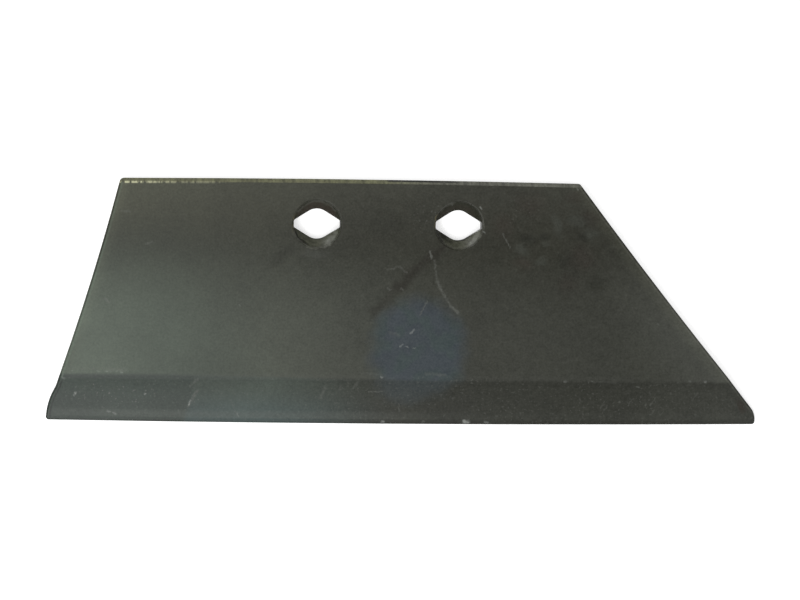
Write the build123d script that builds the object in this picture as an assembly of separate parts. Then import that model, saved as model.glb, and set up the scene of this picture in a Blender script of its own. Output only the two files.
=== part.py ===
"""One-piece plough share: a forged steel blade with a bevelled cutting edge and two bolt holes.

The blade lies on its flat back. The back is at Z = 0, +X runs along the cutting edge towards the
point, +Y towards the mounting edge, and +Z out of the front face. The origin is on the back,
midway between the two bolt holes. All sizes are in millimetres, and angles are in degrees.
"""
import os
from math import asin, atan2, degrees, radians, tan

from build123d import *

# Plan of the blade
cutting_edge_length = 356.0
mounting_edge_length = 227.7
blade_width = 120.3
tail_overhang = 36.4

# Bows of the edges, each the height of the arc over its chord
mounting_edge_bow = 0.7
cutting_edge_bow = 1.1
tail_hollow = 1.2
point_hollow = 0.95
tail_spread = 1.2

# How far up from the cutting edge the tail is spread, and the radius where the spread begins
spread_length = 16.8
spread_blend_radius = 15.0

# Corner radii in plan, and the straight bit of the snubbed point between two of them
tail_corner_radius = 2.2
point_corner_radius = 1.5
toe_radius = 10.0
snub_flat = 0.9
cutting_corner_radius = 1.5

# Section of the blade
blade_thickness = 10.0
bevel_width = 23.5
edge_thickness = 3.0
bevel_hollow = 0.8
crease_radius = 8.0

# Chamfer of the mounting edge, and rounding of the other arrises
mounting_edge_chamfer = 1.9
front_arris_radius = 1.0
back_arris_radius = 0.5

# Bolt holes, for countersunk plough bolts with two nibs
bolt_pitch = 70.5
bolt_line_inset = 21.5
tail_hole_inset = 97.0
head_recess_radius = 11.8
head_land_depth = 1.7
head_cone_angle = 45.0
mouth_radius = 0.7
neck_radius = 7.5
nib_reach = 11.5
nib_width = 3.5
nib_corner_radius = 1.3

# How far a cutting or trimming body runs past what it cuts
overrun = 2.0

# Places that follow from the sizes
mounting_edge_y = bolt_line_inset
cutting_edge_y = mounting_edge_y - blade_width
tail_top = Vector(-bolt_pitch / 2 - tail_hole_inset, mounting_edge_y)
tail_bottom = Vector(tail_top.X - tail_overhang, cutting_edge_y)
point_top = Vector(tail_top.X + mounting_edge_length, mounting_edge_y)
point_bottom = Vector(tail_bottom.X + cutting_edge_length, cutting_edge_y)
point_rake = atan2(point_bottom.X - point_top.X, blade_width)
snub_height = cutting_corner_radius + snub_flat + toe_radius * tan(abs(point_rake) / 2)
snub_top = Vector(point_bottom.X, cutting_edge_y + snub_height)


def corner_at(sketch, place):
    """The corner of a sketch that lies nearest to a place."""
    return sketch.vertices().sort_by_distance(place)[0]


def plan_outline():
    """The blade's outline: bowed long edges, hollow ends, and a tail that is spread at its foot."""
    spread_start = tail_bottom + (tail_top - tail_bottom) * (spread_length / blade_width)
    outline = make_face(
        [
            SagittaArc(tail_top, point_top, mounting_edge_bow),
            SagittaArc(point_top, snub_top, -point_hollow),
            Line(snub_top, point_bottom),
            SagittaArc(point_bottom, tail_bottom, cutting_edge_bow),
            SagittaArc(tail_bottom, spread_start, tail_spread),
            SagittaArc(spread_start, tail_top, -tail_hollow),
        ]
    )
    rounded_corners = (
        (tail_top, tail_corner_radius),
        (point_top, point_corner_radius),
        (snub_top, toe_radius),
        (point_bottom, cutting_corner_radius),
        (tail_bottom, cutting_corner_radius),
        (spread_start, spread_blend_radius),
    )
    for place, radius in rounded_corners:
        outline = fillet(corner_at(outline, place), radius)
    return outline


def rolled_bar():
    """A bar with the blade's section, longer than the blade: flat back, flat front, hollow bevel."""
    edge = Vector(cutting_edge_y - cutting_edge_bow, edge_thickness)
    crease = Vector(edge.X + bevel_width, blade_thickness)
    chord = crease - edge
    bevel_radius = (chord.length**2 / 4 + bevel_hollow**2) / (2 * bevel_hollow)
    bevel_centre = (edge + crease) / 2 + chord.normalized().rotate(Axis.Z, 90) * (bevel_radius - bevel_hollow)

    # the section is drawn with its X along the blade's Y, and its Y upwards
    near_side = edge.X - overrun
    far_side = mounting_edge_y + mounting_edge_bow + overrun
    slab = Pos(near_side, 0) * Rectangle(far_side - near_side, blade_thickness, align=Align.MIN)
    section = slab - Pos(bevel_centre) * Circle(bevel_radius)
    section = fillet(corner_at(section, crease), crease_radius)

    bar_end = Plane(
        origin=(tail_bottom.X - tail_spread - overrun, 0, 0),
        x_dir=(0, 1, 0),
        z_dir=(1, 0, 0),
    )
    return extrude(bar_end * section, cutting_edge_length + tail_spread + 2 * overrun)


def mounting_edge_wedge():
    """What the mounting edge's chamfer takes away: a wedge that follows the bow of the edge."""
    chord = point_top - tail_top
    bow_radius = (chord.length**2 / 4 + mounting_edge_bow**2) / (2 * mounting_edge_bow)
    bow_centre = (tail_top + point_top) / 2 + Vector(0, mounting_edge_bow - bow_radius)
    half_turn = degrees(asin((chord.length / 2 + overrun) / bow_radius))
    edge = CenterArc(bow_centre, bow_radius, 90 + half_turn, -2 * half_turn)

    # across the edge, X runs outwards from it and Y upwards
    across = Plane(origin=edge @ 0, x_dir=(edge @ 0) - bow_centre, z_dir=edge % 0)
    top = blade_thickness + overrun
    wedge = make_face(
        Polyline(
            (-mounting_edge_chamfer - overrun, top),
            (overrun, blade_thickness - mounting_edge_chamfer - overrun),
            (overrun, top),
            close=True,
        )
    )
    return sweep(across * wedge, edge)


def head_recess():
    """Round seat of a bolt's head: a short straight land, then a cone that runs on into the neck."""
    land_bottom = blade_thickness - head_land_depth
    cone_end_radius = neck_radius - overrun
    cone_bottom = land_bottom - (head_recess_radius - cone_end_radius) / tan(radians(head_cone_angle))
    top = blade_thickness + overrun
    profile = make_face(
        Polyline(
            (0, cone_bottom),
            (cone_end_radius, cone_bottom),
            (head_recess_radius, land_bottom),
            (head_recess_radius, top),
            (0, top),
            close=True,
        )
    )
    return revolve(Plane.XZ * profile, Axis.Z)


def neck_opening():
    """Way through for a bolt's neck: round, and drawn out to a blunt tip each side for the nibs."""
    round_neck = Circle(neck_radius)
    nibs = Rectangle(2 * nib_reach, nib_width)
    opening = make_hull(round_neck.edges() + nibs.edges())
    tip_corners = opening.vertices().group_by(lambda corner: round(abs(corner.X), 3))[-1]
    opening = fillet(tip_corners, nib_corner_radius)
    return extrude(Pos(0, 0, -overrun) * opening, blade_thickness + 2 * overrun)


def outer_edges(body, lowest, highest):
    """The edges round the blade's upright sides whose middles lie between two heights."""
    sides = body.faces().filter_by(lambda face: abs(face.normal_at().Z) < 0.01)
    rims = ShapeList(edge for side in sides for edge in side.edges())
    level = rims.filter_by(lambda edge: abs((edge % 0.5).Z) < 0.9)
    return level.filter_by(lambda edge: lowest < edge.center().Z < highest)


def mouth_edges(body):
    """The rims of the two head recesses on the front face."""
    front = body.edges().filter_by_position(Axis.Z, blade_thickness, blade_thickness)
    return front.filter_by(GeomType.CIRCLE).filter_by(lambda rim: rim.is_closed)


def plough_share():
    """The finished share."""
    blank = extrude(Pos(0, 0, -overrun) * plan_outline(), blade_thickness + 2 * overrun)
    body = blank & rolled_bar()
    half_edge = edge_thickness / 2
    body = fillet(outer_edges(body, half_edge, blade_thickness + half_edge), front_arris_radius)
    body = fillet(outer_edges(body, -half_edge, half_edge), back_arris_radius)
    body -= mounting_edge_wedge()
    bolt_places = [Pos(-bolt_pitch / 2, 0, 0), Pos(bolt_pitch / 2, 0, 0)]
    for place in bolt_places:
        body -= place * head_recess()
    body = fillet(mouth_edges(body), mouth_radius)
    for place in bolt_places:
        body -= place * neck_opening()
    body.label = "plough_share"
    return body


os.makedirs("parts", exist_ok=True)
export_step(plough_share(), "parts/plough_share.step")
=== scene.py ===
"""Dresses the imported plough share: dark satin paint with its wear, a white floor, soft light and a camera.

Places and sizes on the share are in millimetres, those of the camera, floor and lamps in metres. The
camera's sensor is in millimetres, and colours are linear.
"""
import math

import bmesh
import bpy
from mathutils import Matrix, Vector

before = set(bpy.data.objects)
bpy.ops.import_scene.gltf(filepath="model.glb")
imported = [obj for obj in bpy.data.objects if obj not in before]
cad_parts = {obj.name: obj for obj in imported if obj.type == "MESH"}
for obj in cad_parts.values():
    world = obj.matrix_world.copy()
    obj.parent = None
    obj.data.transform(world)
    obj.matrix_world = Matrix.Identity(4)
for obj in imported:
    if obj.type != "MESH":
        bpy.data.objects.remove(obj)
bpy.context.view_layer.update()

MM_PER_METRE = 1000.0

# Camera, as fitted to the photograph: how far it stands off, and how it leans, turns and rolls
CAMERA_DISTANCE = 1.2
CAMERA_TILT = math.radians(3.0)
CAMERA_YAW = math.radians(-3.84)
CAMERA_ROLL = math.radians(0.78)
CAMERA_LOOKS_AT = Vector((0.0063, -0.0373, 0.010))
CAMERA_CLIP_START = 0.05
CAMERA_CLIP_END = 50.0
MM_PER_PIXEL = 0.4966
SENSOR_WIDTH = 36.0
PICTURE_WIDTH = 800

# Floor: half its width, how far it lies under the share, its colour, and its glow to the camera
FLOOR_REACH = 3.0
FLOOR_DROP = 0.0001
FLOOR_WHITE = (0.9, 0.9, 0.9, 1.0)
FLOOR_LIFT = 0.60

# Light: the white surroundings, and the lamps with name, place, width, depth and watts
WHITE = (1.0, 1.0, 1.0, 1.0)
SURROUNDINGS = 0.27
LAMPS_AIM_AT = (0.0, -0.04, 0.0)
LAMPS = (
    ("key_left", (-0.35, -0.524, 1.2), 0.4, 1.4, 10.7),
    ("fill_right", (0.80, -0.512, 1.2), 0.6, 0.9, 1.33),
    ("low_back", (-0.75, 1.3, 0.55), 0.6, 0.5, 11.0),
)

# Plan of the share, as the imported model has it
TAIL_TOP = Vector((-132.25, 21.5, 0.0))
TAIL_FOOT = Vector((-168.65, -98.8, 0.0))
POINT_TOP = Vector((95.45, 21.5, 0.0))
POINT_FOOT = Vector((187.35, -98.8, 0.0))
SNUB_TOP = Vector((187.35, -93.0, 0.0))
SPREAD_START = Vector((-163.57, -82.0, 0.0))
SPREAD_BLEND = 1.5
MOUNTING_EDGE_BOW = 0.7
CUTTING_EDGE_BOW = 1.1
TAIL_HOLLOW = 1.2
TAIL_SPREAD = 1.2
POINT_HOLLOW = 0.95
CREASE_Y = -76.4
TAIL_HOLE = (-35.25, 0.0)
POINT_HOLE = (35.25, 0.0)

# Colours of the flat front: the paint, and the haze and painted sheen that are added over parts of it
PAINT_DARK = (0.0113, 0.0110, 0.0032)
SHEEN_AND_HAZE_LOW = (0.0013, 0.0056, 0.0099)
SHEEN_AND_HAZE_TAIL_LOW = (0.084, 0.105, 0.078)
SHEEN_AND_HAZE_MIDDLE_LOW = (0.023, 0.021, 0.015)
SHEEN_AND_HAZE_TOP = (0.023, 0.024, 0.022)
SHEEN_AND_HAZE_TAIL_TOP = (0.035, 0.039, 0.022)
SHEEN_AND_HAZE_POINT = (0.021, 0.022, 0.0205)
EDGE_OLIVE = (0.014, 0.0145, 0.010)

# Colours of the bevel: the paint, and what is added over parts of it
BEVEL_DARK = (0.0254, 0.0270, 0.0188)
BEVEL_TAIL = (0.0145, 0.0275, 0.0245)
BEVEL_SHEEN = (0.0275, 0.0425, 0.036)
BEVEL_SHEEN_EDGE = (0.0, 0.0107, 0.0196)
BEVEL_POINT = (0.0155, 0.0160, 0.0150)

# Colours of the marks, the worn edges, the chamfer, the bolt seats and the back. The band above the cutting
# edge is a painted highlight, the green on the tail edge is partly a painted highlight, and the bolt seats'
# lighter tones and some dark ones are painted light and shade.
OVAL_FLAT = (0.036, 0.047, 0.055)
OVAL_TEAL = (0.034, 0.050, 0.051)
OVAL_BEVEL = (0.033, 0.042, 0.042)
SOOT = (0.013, 0.012, 0.006)
SMUDGE = (0.011, 0.012, 0.006)
RUST_TINGE = (0.029, 0.0225, 0.0155)
GREY_BLOTCH = (0.038, 0.041, 0.031)
PALE_STEEL = (0.13, 0.135, 0.12)
BRIGHT_STEEL = (0.45, 0.47, 0.44)
CUT_EDGE_HIGHLIGHT = (0.11, 0.12, 0.105)
WORN_EDGE = (0.20, 0.20, 0.17)
GREEN_WEAR_AND_HIGHLIGHT = (0.18, 0.27, 0.19)
CHAMFER_OLIVE = (0.118, 0.119, 0.062)
CHAMFER_GREY = (0.108, 0.109, 0.086)
CHAMFER_DUST = (0.52, 0.52, 0.33)
SEAT_BROWN = (0.048, 0.037, 0.029)
SEAT_RIM = (0.090, 0.090, 0.075)
SEAT_PAINTED_LIGHT = (0.085, 0.088, 0.062)
SEAT_HIGHLIGHT = (0.19, 0.195, 0.17)
SEAT_OCHRE = (0.20, 0.17, 0.09)
SEAT_DARK = (0.012, 0.012, 0.008)
PAINT_BACK = (0.026, 0.027, 0.019)
BACK_RUST = (0.045, 0.030, 0.018)
DARKEST = (0.002, 0.002, 0.002)

# Where a finish sets in and where it is full, in the share's own X, Y and Z. Some of these place painted
# sheen and painted highlights.
FRONT_FROM_BACK = (1.5, 2.5)
FRONT_TOP = (7.6, 8.1)
LOW_SHEEN_AND_HAZE = (14.6, -58.1)
MIDDLE_SHEEN_AND_HAZE = (-129.0, -63.0)
MIDDLE_SHEEN_AND_HAZE_SLANT = 0.3
TAIL_SHEEN_AND_HAZE_END = 59.0
TAIL_SHEEN_AND_HAZE_LENGTH = 209.0
NICK_EDGE = (-80.0, -76.5)
NICK_EDGE_SLANT = -0.22
SHEEN_RUN = (9.0, -63.0)
BEVEL_POINT_RUN = (98.0, 187.0)
RIGHTWARDS = (-60.0, 60.0)
DARKER_TAIL_FROM_ABOVE = (-44.0, -66.0)
DARKER_TAIL_FROM_BELOW = (-77.0, -74.0)
LOW_BEVEL_RUN = (-88.0, -104.0)
FOOT_RUN = (-77.0, -80.0)
TAIL_WEAR_AND_HIGHLIGHT_RUN = (-80.0, -76.0)
CHAMFER_TURNS_GREY = (-10.0, 30.0)
CHIPS_START = (-3.0, 1.0)
CHIPS_END = (38.0, 30.0)
DUST_THICKENS = (-100.0, -128.0)
DUST_END = (-76.0, -90.0)

# Where a finish sets in and where it is full, as distances inside an edge of the plan. Some of these place
# painted sheen and painted highlights.
TOP_SHEEN_AND_HAZE = (40.0, 0.0)
POINT_SHEEN_AND_HAZE = (35.2, 0.0)
POINT_OLIVE = (8.0, 2.0)
TAIL_OLIVE = (7.0, 2.0)
SHEEN_AT_CUT = (19.7, 0.0)
CUT_EDGE_HIGHLIGHT_INNER = (7.2, 4.4)
CUT_EDGE_HIGHLIGHT_OUTER = (1.6, 3.0)
LOW_BEVEL_INNER = (14.0, 10.0)
LOW_BEVEL_OUTER = (5.4, 7.4)
CUT_LINE = (2.6, 1.4)
DARKER_TAIL_WIDE = (24.0, 0.0)
DARKER_TAIL_NARROW = (7.0, 1.0)
POINT_OUTLINE = (0.9, 0.5)
CHAMFER_BAND = (2.1, 1.8)
CHIP_BAND = (1.1, 0.8)

# The crease seen in the paint: it lies lower towards the point, and is this soft each side
CREASE_TURN = (-140.0, 40.0)
CREASE_AT_TAIL = CREASE_Y + 1.1
CREASE_AT_POINT = CREASE_Y - 1.05
CREASE_SOFTNESS = 0.9

# Soft lines: the distance at which they lie, how far each side they reach, and how far they are full
CREASE_LINE = (-0.85, 2.4, 0.3)
FOOT_LINE = (2.0, 0.8, 0.2)
TAIL_LINE = (0.6, 0.6, 0.2)
POINT_WEAR = (1.3, 0.6, 0.2)
TAIL_WEAR_AND_HIGHLIGHT = (1.4, 0.8, 0.2)
DUST_LINE = (2.05, 0.75, 0.25)

# How strongly a finish shows, painted shade and painted highlights among them
CREASE_SHADE = 0.08
CREASE_SHADE_AT_TAIL = 0.16
DARKER_TAIL_WIDE_SHADE = 0.25
DARKER_TAIL_NARROW_SHADE = 0.15
LOW_BEVEL_SHADE = 0.10
CUT_LINE_SHADE = 0.20
FOOT_LINE_SHADE = 0.55
TAIL_LINE_SHADE = 0.45
CUT_EDGE_HIGHLIGHT_SHINE = 0.32
CUT_EDGE_HIGHLIGHT_SHINE_LOST_RIGHTWARDS = -0.27
CUT_EDGE_HIGHLIGHT_SHINE_LOST_AT_TAIL = -0.10
POINT_WEAR_STRENGTH = 0.16
POINT_OUTLINE_STRENGTH = 0.5
FOOT_WEAR_AND_HIGHLIGHT_STRENGTH = 0.05
TAIL_WEAR_AND_HIGHLIGHT_STRENGTH = 0.17
FLECKS_ON_BEVEL = 0.45
FLECKS_ANYWHERE = 0.12
FLECK_STRENGTH = 0.5
DUST_LEAST = 0.28
DUST_MORE = 0.72

# Random patterns: size of the blotches, detail and roughness
OVAL_PATTERN = (9.0, 1.0, 0.5)
BREAK_PATTERN = (1.8, 2.0, 0.6)
FLECK_PATTERN = (1.5, 1.0, 0.5)
SEAT_PATTERN = (2.4, 2.0, 0.6)
RUST_PATTERN = (16.0, 4.0, 0.65)
CHAMFER_PATTERN = (2.2, 3.0, 0.7)
FINE_GRAIN = (1.1, 2.0, 0.6)
MIDDLING_GRAIN = (3.0, 3.0, 0.6)
COARSE_GRAIN = (25.0, 3.0, 0.5)

# How the random patterns are used: the values between which they act, and what they then give
OVAL_TURNS_TEAL = (0.42, 0.62)
BREAKS = (0.30, 0.62, 0.35, 1.0)
FLECKS = (0.60, 0.74)
SEAT_UNEVEN = (0.34, 0.58, 0.55, 1.0)
RUSTS = (0.50, 0.72)
CHAMFER_UNEVEN = (0.25, 0.75, 0.45, 1.35)
CHAMFER_CHIPS = (0.36, 0.46)
DUST_BREAKS = (0.42, 0.56)
CLOUDS = (0.2, 0.8, 0.88, 1.12)
ALONG_CHAMFER = (1.0, 0.2, 0.2)

# How places are pushed about at random, so that no edge is ruled: the waves' detail and roughness,
# and for each use their size and reach
SHIFT_PATTERN = (2.0, 0.5)
SWAY = (8.0, 8.0)
SHAKE = (1.6, 1.8)
NUDGE = (2.5, 2.2)

# Speckle: share of the fine and the middling grain, their middle, and how it grows with the colour
FINE_SPECKLE = 0.050
MIDDLING_SPECKLE = 0.032
SPECKLE_MIDDLE = -0.041
SPECKLE_GROWTH = (8.0, 8.0, 8.0)
SPECKLE_LEAST = (0.5, 0.5, 0.45)

# Gloss and texture of the paint
PAINT_GLOSS = 0.33
PAINT_ROUGHNESS = 0.42
ROUGHNESS_SPREAD = 0.10
FINE_HEIGHT = 0.5
BUMP_STRENGTH = 0.15
BUMP_DISTANCE = 0.0002

# Shape of a band in a bolt seat: the share of its width that is full, and how soon its ends are full
ARC_CORE = 0.4
ARC_END = 0.12

# Soft patches: centre, radii, turn in degrees, softness, strength
OVAL = (
    ((15.6, -62.0), (28.5, 30.5), 0.0, 0.38, 1.0),
    ((10.0, -78.5), (20.0, 14.5), 0.0, 0.55, 0.85),
)
SMUDGES = (
    ((77.2, -4.7), (5.5, 3.6), 0.0, 0.9, 0.9),
    ((96.8, -4.9), (5.0, 3.6), 0.0, 0.9, 0.9),
    ((90.0, -17.5), (6.0, 7.0), 0.0, 0.9, 0.7),
    ((70.0, -6.8), (6.0, 4.0), 0.0, 0.9, 0.8),
    ((104.0, -28.0), (8.0, 6.0), 0.0, 0.9, 0.5),
    ((-52.0, -15.0), (14.0, 5.0), 50.0, 0.9, 0.6),
    ((0.0, 0.0), (14.0, 9.0), 0.0, 0.9, 0.4),
)
RUST_TINGES = (
    ((70.4, 11.0), (12.0, 9.0), 0.0, 0.95, 0.45),
    ((97.5, -15.4), (10.0, 10.0), 0.0, 0.95, 0.5),
    ((67.4, -19.2), (7.0, 6.0), 0.0, 0.95, 0.5),
    ((92.9, 15.4), (7.0, 5.0), 0.0, 0.95, 0.4),
    ((100.6, 4.6), (7.0, 6.0), 0.0, 0.95, 0.4),
    ((57.0, 0.0), (9.0, 10.0), 0.0, 0.95, 0.5),
    ((90.1, -28.0), (9.0, 8.0), 0.0, 0.95, 0.35),
    ((180.3, -89.4), (3.2, 6.0), 20.0, 0.7, 0.65),
)
GREY_BLOTCHES = (
    ((84.1, 0.9), (3.6, 9.0), 20.0, 0.8, 0.8),
    ((94.0, 3.0), (9.0, 3.4), 0.0, 0.8, 0.7),
    ((78.3, -9.1), (4.0, 3.6), 0.0, 0.8, 0.6),
    ((66.8, -11.8), (6.0, 3.6), 0.0, 0.8, 0.8),
    ((76.4, -17.6), (4.5, 3.2), 0.0, 0.8, 0.8),
    ((101.3, -2.6), (7.0, 3.8), 0.0, 0.8, 0.8),
    ((-36.0, -14.8), (11.0, 4.0), 0.0, 0.9, 0.9),
    ((-8.0, -58.5), (9.0, 6.0), 0.0, 0.9, 0.35),
)
FLECKED = (
    ((-143.0, -73.2), (20.0, 1.8), 0.0, 0.6, 1.0),
    ((-138.0, -94.0), (9.0, 4.0), 0.0, 0.7, 1.0),
    ((-136.0, -85.0), (30.0, 8.0), 0.0, 0.6, 1.5),
    ((-95.0, -86.0), (6.0, 9.0), 0.0, 0.8, 1.2),
    ((-66.0, -92.0), (14.0, 6.0), 0.0, 0.8, 0.6),
    ((40.0, -76.8), (40.0, 1.8), 0.0, 0.6, 0.6),
    ((106.0, -77.0), (12.0, 2.0), 0.0, 0.6, 1.0),
    ((152.0, -77.0), (8.0, 1.8), 0.0, 0.6, 0.8),
    ((120.0, -88.0), (34.0, 9.0), 0.0, 0.8, 0.7),
    ((22.0, 3.0), (20.0, 14.0), 0.0, 0.9, 0.6),
    ((66.0, 8.0), (14.0, 14.0), 0.0, 0.9, 0.5),
)

# Streaks, scratches and nicks: start, end, width each side, strength
DARK_STREAK = (
    ((29.3, -7.2), (18.5, -18.3), 4.5, 1.0),
    ((18.5, -18.3), (6.2, -29.8), 4.5, 0.95),
    ((6.2, -29.8), (-6.0, -44.0), 5.0, 0.55),
)
SCRATCHES = (
    ((23.0, -17.5), (24.6, -27.7), 1.0, 0.32),
    ((24.6, -27.7), (27.2, -33.1), 1.4, 0.50),
    ((27.2, -33.1), (31.8, -40.5), 1.2, 0.40),
    ((31.6, -40.2), (35.3, -43.6), 1.2, 0.50),
    ((20.9, -13.0), (21.8, -16.6), 0.8, 0.60),
    ((57.2, -3.9), (60.8, -10.8), 0.6, 0.45),
    ((-0.4, -22.5), (6.1, -20.7), 0.8, 0.28),
    ((6.1, -20.7), (9.6, -23.8), 0.8, 0.34),
    ((0.4, -31.6), (1.4, -32.4), 0.9, 0.40),
    ((6.6, -31.6), (7.6, -32.0), 0.9, 0.30),
    ((19.8, -37.7), (16.4, -44.7), 0.6, 0.50),
    ((1.5, -53.6), (6.0, -54.8), 1.4, 0.25),
    ((-77.0, -88.2), (-74.6, -94.8), 0.7, 0.20),
    ((-93.6, -77.9), (-97.2, -80.9), 1.0, 0.50),
    ((-93.8, -83.7), (-98.2, -91.4), 1.2, 0.60),
    ((-14.0, -78.4), (-16.6, -81.6), 1.0, 0.34),
    ((-30.3, -81.6), (-32.4, -86.6), 1.2, 0.30),
    ((-22.9, -80.6), (-22.9, -82.4), 1.0, 0.28),
    ((-8.4, -83.5), (-1.9, -83.4), 0.6, 0.45),
    ((6.9, -89.6), (6.9, -93.4), 0.6, 0.35),
    ((108.2, -90.9), (110.0, -87.8), 0.6, 0.26),
    ((122.2, -88.7), (124.6, -86.2), 0.6, 0.28),
    ((133.4, -89.7), (135.7, -85.5), 0.6, 0.32),
    ((133.7, -94.4), (135.6, -92.0), 0.6, 0.32),
    ((97.8, -86.4), (97.8, -88.2), 0.7, 0.26),
    ((-139.4, -38.2), (-137.0, -40.2), 0.9, 0.45),
    ((-131.4, 5.2), (-127.4, 5.0), 1.1, 0.28),
    ((-119.6, -11.0), (-116.4, -9.8), 0.9, 0.30),
    ((19.8, -73.8), (29.5, -74.6), 1.3, 0.30),
    ((-13.0, -74.0), (-2.0, -74.4), 1.0, 0.18),
    ((101.2, -77.3), (115.2, -77.6), 1.0, 0.16),
    ((-160.0, -72.6), (-141.0, -73.0), 1.0, 0.12),
    ((-138.0, -73.0), (-129.0, -73.3), 1.2, 0.26),
    ((154.6, -86.5), (157.4, -82.6), 0.6, 0.28),
    ((109.6, -93.4), (111.8, -89.6), 0.6, 0.28),
)
NICKS = (
    ((-154.4, -86.4), (-153.6, -85.0), 0.8, 0.40),
    ((-119.7, -85.5), (-119.3, -85.3), 0.8, 0.40),
    ((-98.0, -90.6), (-97.0, -88.4), 0.8, 0.55),
    ((13.8, -51.9), (11.7, -54.0), 0.7, 0.24),
    ((8.0, -59.2), (6.6, -60.6), 0.7, 0.22),
    ((9.6, -60.4), (10.6, -60.9), 0.6, 0.20),
    ((13.2, -61.1), (14.2, -61.1), 0.6, 0.20),
    ((-2.8, -75.6), (-2.2, -75.9), 0.7, 0.30),
    ((-138.4, -94.2), (-136.8, -94.6), 0.8, 0.18),
    ((-135.2, -94.8), (-133.8, -95.6), 0.8, 0.22),
    ((-73.6, -95.4), (-73.2, -96.4), 0.8, 0.20),
    ((-73.2, -40.4), (-72.8, -40.8), 0.6, 0.16),
    ((160.0, -77.0), (160.8, -77.0), 0.8, 0.20),
    ((152.0, -76.6), (153.0, -76.6), 0.8, 0.12),
    ((89.2, -77.4), (90.2, -77.4), 0.9, 0.16),
    ((126.2, -79.8), (127.0, -80.0), 0.8, 0.12),
    ((135.6, -47.8), (136.2, -48.2), 0.7, 0.10),
    ((-160.0, -77.2), (-159.0, -77.8), 0.8, 0.20),
    ((-155.4, -73.8), (-154.8, -73.8), 0.7, 0.12),
    ((-142.6, -73.8), (-141.8, -73.8), 0.7, 0.14),
    ((-138.8, -73.8), (-138.2, -73.9), 0.7, 0.22),
    ((-136.4, -73.9), (-135.9, -73.9), 0.6, 0.18),
    ((-133.9, -73.8), (-133.4, -73.8), 0.7, 0.20),
    ((-131.4, -74.2), (-130.8, -74.2), 0.8, 0.28),
    ((39.6, -98.5), (42.0, -98.6), 1.5, 0.60),
    ((-1.8, -98.5), (-0.8, -98.5), 1.0, 0.35),
    ((18.6, -98.5), (19.4, -98.5), 0.8, 0.20),
    ((50.4, -98.6), (51.8, -98.6), 0.9, 0.25),
    ((31.2, 10.9), (31.8, 10.5), 0.7, 0.25),
    ((45.7, 9.2), (46.3, 8.6), 0.8, 0.30),
    ((47.4, -2.8), (48.0, -3.2), 0.7, 0.28),
    ((94.1, 19.1), (94.6, 18.6), 0.7, 0.30),
)

# Bands in the bolt seats: centre, radius, width each side, facing and half-span in degrees, strength. Some
# are painted light and shade.
SEAT_RIMS = (
    (TAIL_HOLE, 10.9, 0.8, 92.0, 62.0, 0.75),
    (TAIL_HOLE, 11.9, 0.7, 250.0, 58.0, 0.65),
    (POINT_HOLE, 11.0, 0.9, 262.0, 50.0, 0.7),
    (POINT_HOLE, 11.6, 0.9, 122.0, 28.0, 0.75),
    (POINT_HOLE, 10.8, 1.0, 198.0, 24.0, 0.9),
    (POINT_HOLE, 12.2, 0.5, 8.0, 28.0, 0.45),
)
SEAT_BROWNS = (
    (TAIL_HOLE, 9.0, 2.2, 90.0, 80.0, 0.7),
    (POINT_HOLE, 9.0, 1.8, 100.0, 70.0, 0.3),
)
# Painted light on the lower walls of the seats.
SEAT_PAINTED_LIGHTS = (
    (TAIL_HOLE, 9.6, 2.8, 270.0, 80.0, 0.9),
    (POINT_HOLE, 9.6, 2.8, 290.0, 68.0, 0.8),
)
# Painted highlight on the lower right walls of the seats.
SEAT_HIGHLIGHTS = (
    (TAIL_HOLE, 10.2, 1.5, 318.0, 30.0, 0.55),
    (POINT_HOLE, 10.6, 1.5, 322.0, 30.0, 0.65),
)
SEAT_OCHRES = (
    (TAIL_HOLE, 11.7, 0.6, 178.0, 26.0, 0.55),
    (TAIL_HOLE, 12.5, 0.9, 196.0, 14.0, 0.45),
    (TAIL_HOLE, 13.3, 0.6, 180.0, 14.0, 0.25),
    (POINT_HOLE, 12.0, 0.6, 172.0, 26.0, 0.40),
)
# Dark lines round the necks; those on the lower left are painted shade.
SEAT_DARKS = (
    (TAIL_HOLE, 11.3, 0.6, 222.0, 30.0, 0.9),
    (TAIL_HOLE, 11.2, 0.4, 0.0, 22.0, 0.8),
    (TAIL_HOLE, 12.3, 0.45, 180.0, 16.0, 0.8),
    (POINT_HOLE, 9.2, 0.8, 236.0, 24.0, 0.9),
    (POINT_HOLE, 12.2, 0.5, 228.0, 22.0, 0.7),
    (POINT_HOLE, 10.0, 0.6, 264.0, 18.0, 0.7),
    (POINT_HOLE, 10.4, 0.6, 0.0, 18.0, 1.0),
    (POINT_HOLE, 11.6, 0.6, 0.0, 14.0, 0.9),
    (POINT_HOLE, 7.9, 0.4, 305.0, 40.0, 0.9),
)


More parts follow.
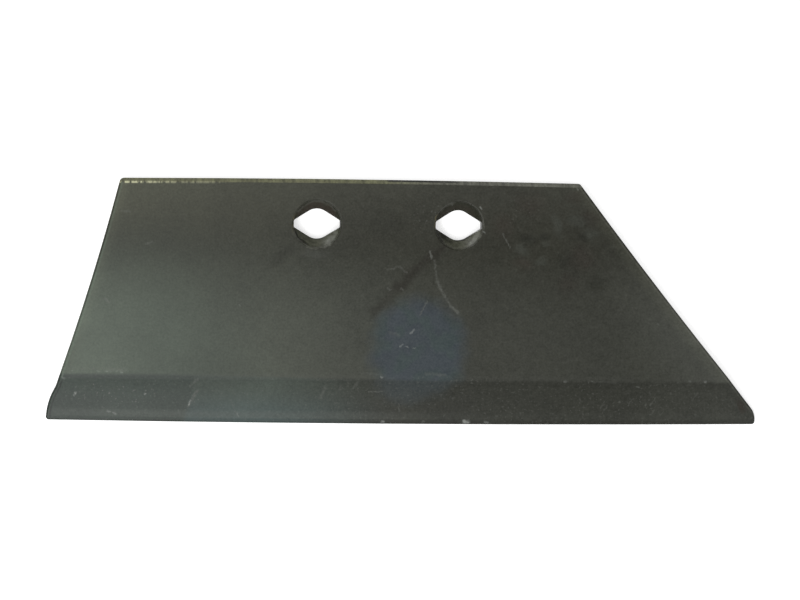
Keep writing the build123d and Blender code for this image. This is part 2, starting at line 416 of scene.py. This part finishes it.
def add_camera():
    """The camera looks down on the share that lies on the floor."""
    away = Vector((
        math.sin(CAMERA_YAW) * math.cos(CAMERA_TILT),
        math.sin(CAMERA_TILT),
        math.cos(CAMERA_YAW) * math.cos(CAMERA_TILT),
    ))
    right = Vector((0.0, 1.0, 0.0)).cross(away).normalized()
    up = away.cross(right)
    rolled_right = math.cos(CAMERA_ROLL) * right + math.sin(CAMERA_ROLL) * up
    rolled_up = -math.sin(CAMERA_ROLL) * right + math.cos(CAMERA_ROLL) * up
    data = bpy.data.cameras.new("photo_camera")
    data.sensor_width = SENSOR_WIDTH
    data.lens = CAMERA_DISTANCE / (MM_PER_PIXEL / MM_PER_METRE * PICTURE_WIDTH) * SENSOR_WIDTH
    data.clip_start = CAMERA_CLIP_START
    data.clip_end = CAMERA_CLIP_END
    camera = bpy.data.objects.new("photo_camera", data)
    bpy.context.scene.collection.objects.link(camera)
    turn = Matrix((rolled_right, rolled_up, away)).transposed().to_4x4()
    camera.matrix_world = Matrix.Translation(CAMERA_LOOKS_AT + away * CAMERA_DISTANCE) @ turn
    bpy.context.scene.camera = camera


def area_light(name, place, width, depth, watts):
    """A soft rectangular lamp aimed at the share: its width lies along X, its depth along Y."""
    data = bpy.data.lights.new(name, "AREA")
    data.shape = "RECTANGLE"
    data.size = width
    data.size_y = depth
    data.energy = watts
    lamp = bpy.data.objects.new(name, data)
    back = (Vector(place) - Vector(LAMPS_AIM_AT)).normalized()
    right = Vector((0.0, 1.0, 0.0)).cross(back).normalized()
    turn = Matrix((right, back.cross(right), back)).transposed().to_4x4()
    lamp.matrix_world = Matrix.Translation(place) @ turn
    bpy.context.scene.collection.objects.link(lamp)


def add_surroundings():
    """A plain white room round the share."""
    world = bpy.data.worlds.new("white_room")
    bpy.context.scene.world = world
    world.use_nodes = True
    background = world.node_tree.nodes["Background"]
    background.inputs["Color"].default_value = WHITE
    background.inputs["Strength"].default_value = SURROUNDINGS


class Bench:
    """Adds nodes to one node tree and wires them up. A socket or a plain value may go into an input."""

    def __init__(self, tree):
        self.tree = tree

    def put(self, socket, value):
        if isinstance(value, bpy.types.NodeSocket):
            self.tree.links.new(value, socket)
        elif value is not None:
            socket.default_value = value

    def node(self, kind, **settings):
        node = self.tree.nodes.new(kind)
        for name, value in settings.items():
            setattr(node, name, value)
        return node

    def math(self, operation, *values):
        node = self.node("ShaderNodeMath", operation=operation)
        for socket, value in zip(node.inputs, values):
            self.put(socket, value)
        return node.outputs[0]

    def times(self, first, *others):
        """The product of two or more numbers."""
        for other in others:
            first = self.math("MULTIPLY", first, other)
        return first

    def vector(self, operation, *values):
        node = self.node("ShaderNodeVectorMath", operation=operation)
        for socket, value in zip(node.inputs, values):
            self.put(socket, value)
        is_number = operation in ("DOT_PRODUCT", "LENGTH", "DISTANCE")
        return node.outputs["Value" if is_number else "Vector"]

    def scaled(self, vector, factor):
        node = self.node("ShaderNodeVectorMath", operation="SCALE")
        self.put(node.inputs[0], vector)
        self.put(node.inputs["Scale"], factor)
        return node.outputs["Vector"]

    def step(self, value, start, end, low=0.0, high=1.0):
        """A smooth step: low before start, high after end."""
        node = self.node("ShaderNodeMapRange", interpolation_type="SMOOTHSTEP", clamp=False)
        items = (("Value", value), ("From Min", start), ("From Max", end), ("To Min", low), ("To Max", high))
        for name, item in items:
            self.put(node.inputs[name], item)
        return node.outputs["Result"]

    def soft_line(self, value, place, reach, core):
        """A line where a value is at a place: full within its core each side, and gone past its reach."""
        off = self.math("ABSOLUTE", self.math("SUBTRACT", value, place))
        return self.step(off, reach, core)

    def noise(self, place, size, detail, roughness):
        """Soft mottling whose blotches are about so many millimetres across."""
        node = self.node("ShaderNodeTexNoise")
        self.put(node.inputs["Vector"], place)
        node.inputs["Scale"].default_value = 1.0 / size
        node.inputs["Detail"].default_value = detail
        node.inputs["Roughness"].default_value = roughness
        return node

    def mottling(self, place, pattern):
        """The grey of a random pattern."""
        return self.noise(place, *pattern).outputs["Fac"]

    def shifted(self, place, size, reach):
        """A place pushed about at random by up to half a reach, for edges that aren't ruled."""
        noise = self.noise(place, size, *SHIFT_PATTERN)
        push = self.vector("SUBTRACT", noise.outputs["Color"], (0.5, 0.5, 0.5))
        return self.vector("MULTIPLY_ADD", push, (reach, reach, 0.0), place)

    def mix(self, amount, under, over):
        """One colour over another. Input 0 of the node is the amount, and 6 and 7 are its two colours."""
        node = self.node("ShaderNodeMix", data_type="RGBA")
        self.put(node.inputs[0], amount)
        self.put(node.inputs[6], under)
        self.put(node.inputs[7], over)
        return node.outputs[2]

    def coat(self, amount, under, tone):
        """A plain tone laid over a colour."""
        return self.mix(amount, under, (*tone, 1.0))

    def group(self, tree, **values):
        node = self.node("ShaderNodeGroup", node_tree=tree)
        for name, value in values.items():
            self.put(node.inputs[name], value)
        return node.outputs[0]

    def strongest(self, masks):
        """The strongest of several masks at each place. Each is joined on as soon as it is made."""
        total = None
        for mask in masks:
            total = mask if total is None else self.math("MAXIMUM", total, mask)
        return total


def new_group(name, vectors, numbers):
    """An empty node group with named inputs and one mask as output: its tree, bench, inputs and output."""
    tree = bpy.data.node_groups.new(name, "ShaderNodeTree")
    for label in vectors:
        tree.interface.new_socket(name=label, in_out="INPUT", socket_type="NodeSocketVector")
    for label in numbers:
        tree.interface.new_socket(name=label, in_out="INPUT", socket_type="NodeSocketFloat")
    tree.interface.new_socket(name="Mask", in_out="OUTPUT", socket_type="NodeSocketFloat")
    bench = Bench(tree)
    entry = bench.node("NodeGroupInput")
    leave = bench.node("NodeGroupOutput")
    return tree, bench, entry.outputs, leave.inputs[0]


def soft_spot_group():
    """A soft-edged oval patch. Softness is the share of its radius over which it fades out."""
    tree, bench, given, result = new_group(
        "soft_spot", ("Place", "Centre", "Radii"), ("Turn", "Softness", "Strength")
    )
    from_centre = bench.vector("SUBTRACT", given["Place"], given["Centre"])
    back_turn = bench.math("MULTIPLY", given["Turn"], -1.0)
    turned = bench.node("ShaderNodeVectorRotate", rotation_type="Z_AXIS")
    bench.put(turned.inputs["Vector"], from_centre)
    bench.put(turned.inputs["Angle"], back_turn)
    reach = bench.vector("LENGTH", bench.vector("DIVIDE", turned.outputs["Vector"], given["Radii"]))
    inner = bench.math("SUBTRACT", 1.0, given["Softness"])
    bench.put(result, bench.step(reach, 1.0, inner, 0.0, given["Strength"]))
    return tree


def scratch_group():
    """A straight scratch between two places, fading to nothing at its width each side."""
    tree, bench, given, result = new_group("scratch", ("Place", "Start", "End"), ("Width", "Strength"))
    from_start = bench.vector("SUBTRACT", given["Place"], given["Start"])
    run = bench.vector("SUBTRACT", given["End"], given["Start"])
    along = bench.math(
        "DIVIDE", bench.vector("DOT_PRODUCT", from_start, run), bench.vector("DOT_PRODUCT", run, run)
    )
    along = bench.math("MINIMUM", bench.math("MAXIMUM", along, 0.0), 1.0)
    off = bench.vector("LENGTH", bench.vector("SUBTRACT", from_start, bench.scaled(run, along)))
    bench.put(result, bench.step(off, given["Width"], 0.0, 0.0, given["Strength"]))
    return tree


def arc_group():
    """A soft band on a circle, facing one way: Reach is the cosine of the angle at which it has ended."""
    tree, bench, given, result = new_group(
        "arc", ("Place", "Centre", "Facing"), ("Radius", "Width", "Reach", "Strength")
    )
    offset = bench.vector("SUBTRACT", given["Place"], given["Centre"])
    radius = bench.vector("LENGTH", offset)
    off = bench.math("ABSOLUTE", bench.math("SUBTRACT", radius, given["Radius"]))
    core = bench.math("MULTIPLY", given["Width"], ARC_CORE)
    band = bench.step(off, given["Width"], core)
    turned = bench.math("DIVIDE", bench.vector("DOT_PRODUCT", offset, given["Facing"]), radius)
    full = bench.math("ADD", given["Reach"], ARC_END)
    ends = bench.step(turned, given["Reach"], full, 0.0, given["Strength"])
    bench.put(result, bench.math("MULTIPLY", band, ends))
    return tree


def add_floor():
    """A wide white floor just under the share, which keeps the share's shadow."""
    shape = bmesh.new()
    bmesh.ops.create_grid(shape, x_segments=1, y_segments=1, size=FLOOR_REACH)
    bmesh.ops.translate(shape, verts=shape.verts, vec=(0.0, 0.0, -FLOOR_DROP))
    mesh = bpy.data.meshes.new("floor")
    shape.to_mesh(mesh)
    shape.free()
    floor = bpy.data.objects.new("floor", mesh)
    bpy.context.scene.collection.objects.link(floor)
    material = bpy.data.materials.new("floor_white")
    material.use_nodes = True
    bench = Bench(material.node_tree)
    shader = material.node_tree.nodes["Principled BSDF"]
    shader.inputs["Base Color"].default_value = FLOOR_WHITE
    shader.inputs["Roughness"].default_value = 1.0
    shader.inputs["Specular IOR Level"].default_value = 0.0
    shader.inputs["Emission Color"].default_value = WHITE
    path = bench.node("ShaderNodeLightPath").outputs
    seen = bench.math("MAXIMUM", path["Is Camera Ray"], path["Is Glossy Ray"])
    seen = bench.math("MAXIMUM", seen, path["Is Transmission Ray"])
    bench.put(shader.inputs["Emission Strength"], bench.math("MULTIPLY", seen, FLOOR_LIFT))
    mesh.materials.append(material)


def place_3d(flat):
    return (flat[0], flat[1], 0.0)


class SharePaint(Bench):
    """The share's paint: where a point lies on the share, and the layers of its finish, bottom up."""

    def __init__(self, tree):
        super().__init__(tree)
        self.spot = soft_spot_group()
        self.scratch = scratch_group()
        self.arc = arc_group()

    def locate(self):
        """The point's place, and its distances inside the edges of the plan."""
        metres = self.node("ShaderNodeTexCoord").outputs["Object"]
        self.solid = self.scaled(metres, MM_PER_METRE)
        split = self.node("ShaderNodeSeparateXYZ")
        self.put(split.inputs[0], self.solid)
        self.x, self.y, self.z = split.outputs
        self.plan = self.vector("MULTIPLY", self.solid, (1.0, 1.0, 0.0))
        self.swayed = self.shifted(self.plan, *SWAY)
        self.shaken = self.shifted(self.plan, *SHAKE)
        self.front = self.step(self.z, *FRONT_FROM_BACK)
        crease = self.step(self.x, *CREASE_TURN, CREASE_AT_TAIL, CREASE_AT_POINT)
        self.above_crease = self.math("SUBTRACT", self.y, crease)
        self.bevel = self.step(self.above_crease, CREASE_SOFTNESS, -CREASE_SOFTNESS)
        self.in_mount = self.inside_edge(TAIL_TOP, POINT_TOP, MOUNTING_EDGE_BOW)
        self.in_cut = self.inside_edge(POINT_FOOT, TAIL_FOOT, CUTTING_EDGE_BOW)
        in_end = self.inside_edge(SPREAD_START, TAIL_TOP, -TAIL_HOLLOW)
        in_spread = self.inside_edge(TAIL_FOOT, SPREAD_START, TAIL_SPREAD)
        past_spread = self.step(self.y, SPREAD_START.y + SPREAD_BLEND, SPREAD_START.y - SPREAD_BLEND)
        spread_more = self.math("SUBTRACT", in_spread, in_end)
        self.in_tail = self.math("MULTIPLY_ADD", spread_more, past_spread, in_end)
        self.in_point = self.inside_edge(POINT_TOP, SNUB_TOP, -POINT_HOLLOW)

    def inside_edge(self, start, end, bow):
        """How far the point lies inside one edge, whose arc stands out by its bow from start to end."""
        middle = (start + end) / 2
        run = end - start
        inwards = Vector((run.y, -run.x, 0.0)).normalized()
        from_middle = self.vector("SUBTRACT", self.plan, tuple(middle))
        along = self.vector("DOT_PRODUCT", from_middle, tuple(run * 2 / run.length_squared))
        off = self.vector("DOT_PRODUCT", from_middle, tuple(inwards))
        arc = self.math("MULTIPLY_ADD", self.math("MULTIPLY", along, along), -bow, bow)
        return self.math("ADD", off, arc)

    def spots(self, rows):
        """All the soft patches of one kind."""
        return self.strongest(
            self.group(
                self.spot, Place=self.swayed, Centre=place_3d(centre), Radii=(radii[0], radii[1], 1.0),
                Turn=math.radians(turn), Softness=softness, Strength=strength,
            )
            for centre, radii, turn, softness, strength in rows
        )

    def marks(self, place, rows):
        """All the streaks, scratches or nicks of one kind."""
        return self.strongest(
            self.group(
                self.scratch, Place=place, Start=place_3d(start), End=place_3d(end),
                Width=width, Strength=strength,
            )
            for start, end, width, strength in rows
        )

    def arcs(self, place, rows):
        """All the bands of one tone in the bolt seats."""
        return self.strongest(
            self.group(
                self.arc, Place=place, Centre=place_3d(centre),
                Facing=(math.cos(math.radians(facing)), math.sin(math.radians(facing)), 0.0),
                Radius=radius, Width=width, Reach=math.cos(math.radians(span)), Strength=strength,
            )
            for centre, radius, width, facing, span, strength in rows
        )

    def added(self, colour, layers):
        """A colour with others added, each by its amount."""
        for amount, tone in layers:
            colour = self.vector("MULTIPLY_ADD", amount, tone, colour)
        return colour

    def flat_front(self):
        """The flat front: darkest towards the top of the point end, with haze and painted sheen low down and
        at the tail.
        """
        low = self.step(self.y, *LOW_SHEEN_AND_HAZE)
        tail = self.math("MULTIPLY_ADD", self.x, -1 / TAIL_SHEEN_AND_HAZE_LENGTH, TAIL_SHEEN_AND_HAZE_END / TAIL_SHEEN_AND_HAZE_LENGTH)
        tail = self.math("MAXIMUM", tail, 0.0)
        self.tail = self.math("MULTIPLY", tail, tail)
        middle = self.step(self.math("MULTIPLY_ADD", self.y, MIDDLE_SHEEN_AND_HAZE_SLANT, self.x), *MIDDLE_SHEEN_AND_HAZE)
        top = self.step(self.in_mount, *TOP_SHEEN_AND_HAZE)
        near_point = self.step(self.in_point, *POINT_SHEEN_AND_HAZE)
        edges = self.math(
            "MAXIMUM", self.step(self.in_point, *POINT_OLIVE), self.step(self.in_tail, *TAIL_OLIVE)
        )
        # Haze and painted sheen: lighter low down, at the tail, towards the top and near the point.
        return self.added(
            PAINT_DARK,
            (
                (low, SHEEN_AND_HAZE_LOW),
                (self.math("MULTIPLY", low, self.tail), SHEEN_AND_HAZE_TAIL_LOW),
                (self.math("MULTIPLY", low, middle), SHEEN_AND_HAZE_MIDDLE_LOW),
                (top, SHEEN_AND_HAZE_TOP),
                (self.math("MULTIPLY", top, self.tail), SHEEN_AND_HAZE_TAIL_TOP),
                (self.math("MULTIPLY", low, near_point), SHEEN_AND_HAZE_POINT),
                (edges, EDGE_OLIVE),
            ),
        )

    def bevel_front(self):
        """The bevel: greenish at the tail, with a teal sheen that starts at the nick."""
        past_nick = self.step(self.math("MULTIPLY_ADD", self.y, NICK_EDGE_SLANT, self.x), *NICK_EDGE)
        sheen = self.math("MULTIPLY", self.step(self.x, *SHEEN_RUN), past_nick)
        return self.added(
            BEVEL_DARK,
            (
                (self.math("SUBTRACT", 1.0, past_nick), BEVEL_TAIL),
                (sheen, BEVEL_SHEEN),
                (self.math("MULTIPLY", sheen, self.step(self.in_cut, *SHEEN_AT_CUT)), BEVEL_SHEEN_EDGE),
                (self.step(self.x, *BEVEL_POINT_RUN), BEVEL_POINT),
            ),
        )

    def painted_edge_highlight(self, colour):
        """A painted highlight in a band just above the cutting edge, weaker towards the point."""
        rightwards = self.step(self.x, *RIGHTWARDS)
        highlight_band = self.math(
            "MULTIPLY", self.step(self.in_cut, *CUT_EDGE_HIGHLIGHT_INNER), self.step(self.in_cut, *CUT_EDGE_HIGHLIGHT_OUTER)
        )
        shine = self.math("MULTIPLY_ADD", rightwards, CUT_EDGE_HIGHLIGHT_SHINE_LOST_RIGHTWARDS, CUT_EDGE_HIGHLIGHT_SHINE)
        far_tail = self.math("MULTIPLY", self.tail, self.tail)
        shine = self.math("MULTIPLY_ADD", far_tail, CUT_EDGE_HIGHLIGHT_SHINE_LOST_AT_TAIL, shine)
        # The band is a painted highlight, laid on as a lighter tone.
        return self.coat(self.math("MULTIPLY", highlight_band, shine), colour, CUT_EDGE_HIGHLIGHT)

    def shades(self, colour):
        """Darker lines along the crease, the cutting edge and the tail, and a darker tail end. The crease
        line is painted shade.
        """
        far_tail = self.math("MULTIPLY", self.tail, self.tail)
        # Painted shade in the crease, stronger towards the tail.
        creased = self.math(
            "MULTIPLY",
            self.soft_line(self.above_crease, *CREASE_LINE),
            self.math("MULTIPLY_ADD", far_tail, CREASE_SHADE_AT_TAIL, CREASE_SHADE),
        )
        narrow = self.math("MULTIPLY", self.step(self.in_tail, *DARKER_TAIL_NARROW), DARKER_TAIL_NARROW_SHADE)
        darker_tail = self.math("MULTIPLY_ADD", self.step(self.in_tail, *DARKER_TAIL_WIDE), DARKER_TAIL_WIDE_SHADE, narrow)
        darker_tail = self.times(darker_tail, self.step(self.y, *DARKER_TAIL_FROM_ABOVE), self.step(self.y, *DARKER_TAIL_FROM_BELOW))
        low_bevel = self.times(
            self.step(self.in_cut, *LOW_BEVEL_INNER),
            self.step(self.in_cut, *LOW_BEVEL_OUTER),
            self.step(self.x, *LOW_BEVEL_RUN),
        )
        cut_line = self.step(self.in_cut, *CUT_LINE)
        foot_line = self.times(self.soft_line(self.in_tail, *FOOT_LINE), self.step(self.y, *FOOT_RUN))
        tail_line = self.soft_line(self.in_tail, *TAIL_LINE)
        shade = creased
        for amount, strength in (
            (darker_tail, 1.0),
            (low_bevel, LOW_BEVEL_SHADE),
            (cut_line, CUT_LINE_SHADE),
            (foot_line, FOOT_LINE_SHADE),
            (tail_line, TAIL_LINE_SHADE),
        ):
            shade = self.math("MAXIMUM", shade, self.math("MULTIPLY", amount, strength))
        return self.scaled(colour, self.math("SUBTRACT", 1.0, shade))

    def oval_mark(self, colour):
        """The bluish oval, which runs on over the crease."""
        oval = self.spots(OVAL)
        greener = self.step(self.mottling(self.plan, OVAL_PATTERN), *OVAL_TURNS_TEAL)
        on_flat = self.mix(greener, (*OVAL_FLAT, 1.0), (*OVAL_TEAL, 1.0))
        return self.mix(oval, colour, self.coat(self.bevel, on_flat, OVAL_BEVEL))

    def stains(self, colour):
        """Smudges, the dark streak from the second hole, rust tinges and grey blotches."""
        streak = self.marks(self.swayed, DARK_STREAK)
        colour = self.coat(self.spots(SMUDGES), colour, SMUDGE)
        colour = self.coat(streak, colour, SOOT)
        colour = self.coat(self.spots(RUST_TINGES), colour, RUST_TINGE)
        return self.coat(self.spots(GREY_BLOTCHES), colour, GREY_BLOTCH)

    def cuts(self, colour):
        """Scratches, flecks and nicks down to the steel."""
        broken = self.step(self.mottling(self.plan, BREAK_PATTERN), *BREAKS)
        self.broken = self.math("MULTIPLY", broken, self.front)
        fleck_field = self.mottling(self.plan, FLECK_PATTERN)
        on_bevel = self.math("MULTIPLY", self.bevel, FLECKS_ON_BEVEL)
        zone = self.math("MAXIMUM", self.spots(FLECKED), on_bevel)
        zone = self.math("MULTIPLY", self.math("MAXIMUM", zone, FLECKS_ANYWHERE), self.front)
        flecks = self.math("MULTIPLY", self.step(fleck_field, *FLECKS), zone)
        scratched = self.math("MULTIPLY", self.marks(self.shaken, SCRATCHES), self.broken)
        scratched = self.math("MAXIMUM", scratched, self.math("MULTIPLY", flecks, FLECK_STRENGTH))
        nicked = self.math("MULTIPLY", self.marks(self.shaken, NICKS), self.broken)
        self.depth = self.math("MAXIMUM", scratched, nicked)
        colour = self.coat(scratched, colour, PALE_STEEL)
        return self.coat(nicked, colour, BRIGHT_STEEL)

    def worn_ends(self, colour):
        """Both ends worn pale in bits, with the tail's green band partly a painted highlight, and a dark
        outline along the point's edge.
        """
        worn = self.math("MULTIPLY", self.soft_line(self.in_point, *POINT_WEAR), self.broken)
        colour = self.coat(self.math("MULTIPLY", worn, POINT_WEAR_STRENGTH), colour, WORN_EDGE)
        # The tail's green band is partly wear and partly a painted highlight on the rounded tail edge.
        strength = self.step(self.y, *TAIL_WEAR_AND_HIGHLIGHT_RUN, FOOT_WEAR_AND_HIGHLIGHT_STRENGTH, TAIL_WEAR_AND_HIGHLIGHT_STRENGTH)
        worn = self.times(self.soft_line(self.in_tail, *TAIL_WEAR_AND_HIGHLIGHT), self.broken, strength)
        colour = self.coat(worn, colour, GREEN_WEAR_AND_HIGHLIGHT)
        outline = self.math("MULTIPLY", self.step(self.in_point, *POINT_OUTLINE), POINT_OUTLINE_STRENGTH)
        return self.coat(outline, colour, SEAT_DARK)

    def bolt_seats(self, colour):
        """The bolt seats: brown above, with painted light on the lower walls and a painted highlight to the
        lower right, and darker lines round the necks, those on the lower left painted shade.
        """
        nudged = self.shifted(self.plan, *NUDGE)
        uneven = self.step(self.mottling(self.solid, SEAT_PATTERN), *SEAT_UNEVEN)
        for rows, tone in (
            (SEAT_RIMS, SEAT_RIM),
            (SEAT_BROWNS, SEAT_BROWN),
            (SEAT_PAINTED_LIGHTS, SEAT_PAINTED_LIGHT),
            (SEAT_HIGHLIGHTS, SEAT_HIGHLIGHT),
            (SEAT_OCHRES, SEAT_OCHRE),
            (SEAT_DARKS, SEAT_DARK),
        ):
            colour = self.coat(self.math("MULTIPLY", self.arcs(nudged, rows), uneven), colour, tone)
        return colour

    def over_back(self, colour):
        """The front's colour over the back's, which has some rust under the paint."""
        rusty = self.step(self.mottling(self.solid, RUST_PATTERN), *RUSTS)
        back = self.mix(rusty, (*PAINT_BACK, 1.0), (*BACK_RUST, 1.0))
        return self.mix(self.front, back, colour)

    def chamfer(self, colour):
        """The mounting edge's chamfer: olive at the tail, grey and chipped towards the point."""
        high = self.step(self.z, *FRONT_TOP)
        patchy = self.mottling(self.vector("MULTIPLY", self.solid, ALONG_CHAMFER), CHAMFER_PATTERN)
        band = self.math("MULTIPLY", self.step(self.in_mount, *CHAMFER_BAND), high)
        greyer = self.step(self.x, *CHAMFER_TURNS_GREY)
        tone = self.mix(greyer, (*CHAMFER_OLIVE, 1.0), (*CHAMFER_GREY, 1.0))
        tone = self.scaled(tone, self.step(patchy, *CHAMFER_UNEVEN))
        colour = self.mix(band, colour, tone)
        chipped = self.times(
            self.step(self.in_mount, *CHIP_BAND),
            self.step(self.x, *CHIPS_START),
            self.step(self.x, *CHIPS_END),
            high,
            self.step(patchy, *CHAMFER_CHIPS),
        )
        colour = self.coat(chipped, colour, SEAT_DARK)
        thickness = self.step(self.x, *DUST_THICKENS)
        dusty = self.times(
            self.soft_line(self.in_mount, *DUST_LINE),
            self.step(patchy, *DUST_BREAKS),
            high,
            self.math("MULTIPLY_ADD", thickness, DUST_MORE, DUST_LEAST),
            self.step(self.x, *DUST_END),
        )
        return self.coat(dusty, colour, CHAMFER_DUST)

    def grain(self, colour):
        """Mottling over everything, fine to coarse."""
        self.fine = self.mottling(self.solid, FINE_GRAIN)
        self.middling = self.mottling(self.solid, MIDDLING_GRAIN)
        coarse = self.mottling(self.solid, COARSE_GRAIN)
        speckle = self.math("MULTIPLY_ADD", self.middling, MIDDLING_SPECKLE, SPECKLE_MIDDLE)
        speckle = self.math("MULTIPLY_ADD", self.fine, FINE_SPECKLE, speckle)
        clouds = self.step(coarse, *CLOUDS)
        growth = self.vector("MULTIPLY_ADD", colour, SPECKLE_GROWTH, SPECKLE_LEAST)
        colour = self.vector("ADD", self.scaled(colour, clouds), self.scaled(growth, speckle))
        return self.vector("MAXIMUM", colour, DARKEST)


def paint_material():
    """Dark olive-black satin paint on rolled steel, with haze, stains, scratches, nicks and worn arrises,
    and painted sheen, highlights and shade.
    """
    material = bpy.data.materials.new("dark_paint_look")
    material.use_nodes = True
    paint = SharePaint(material.node_tree)
    shader = material.node_tree.nodes["Principled BSDF"]
    shader.inputs["Specular IOR Level"].default_value = PAINT_GLOSS

    paint.locate()
    flat = paint.flat_front()
    colour = paint.mix(paint.bevel, flat, paint.bevel_front())
    for layer in (
        paint.painted_edge_highlight, paint.shades, paint.oval_mark, paint.stains, paint.cuts,
        paint.worn_ends, paint.bolt_seats, paint.over_back, paint.chamfer, paint.grain,
    ):
        colour = layer(colour)
    paint.put(shader.inputs["Base Color"], colour)

    smoothest = PAINT_ROUGHNESS - ROUGHNESS_SPREAD / 2
    roughness = paint.math("MULTIPLY_ADD", paint.middling, ROUGHNESS_SPREAD, smoothest)
    paint.put(shader.inputs["Roughness"], roughness)

    height = paint.math("MULTIPLY_ADD", paint.fine, FINE_HEIGHT, paint.middling)
    height = paint.math("SUBTRACT", height, paint.depth)
    bump = paint.node("ShaderNodeBump")
    bump.inputs["Strength"].default_value = BUMP_STRENGTH
    bump.inputs["Distance"].default_value = BUMP_DISTANCE
    paint.put(bump.inputs["Height"], height)
    paint.put(shader.inputs["Normal"], bump.outputs["Normal"])
    return material


bpy.context.scene.view_settings.view_transform = "Standard"
add_camera()
add_surroundings()
add_floor()
for name, place, width, depth, watts in LAMPS:
    area_light(name, place, width, depth, watts)

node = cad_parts["plough_share"]
node.data.materials.clear()
node.data.materials.append(paint_material())
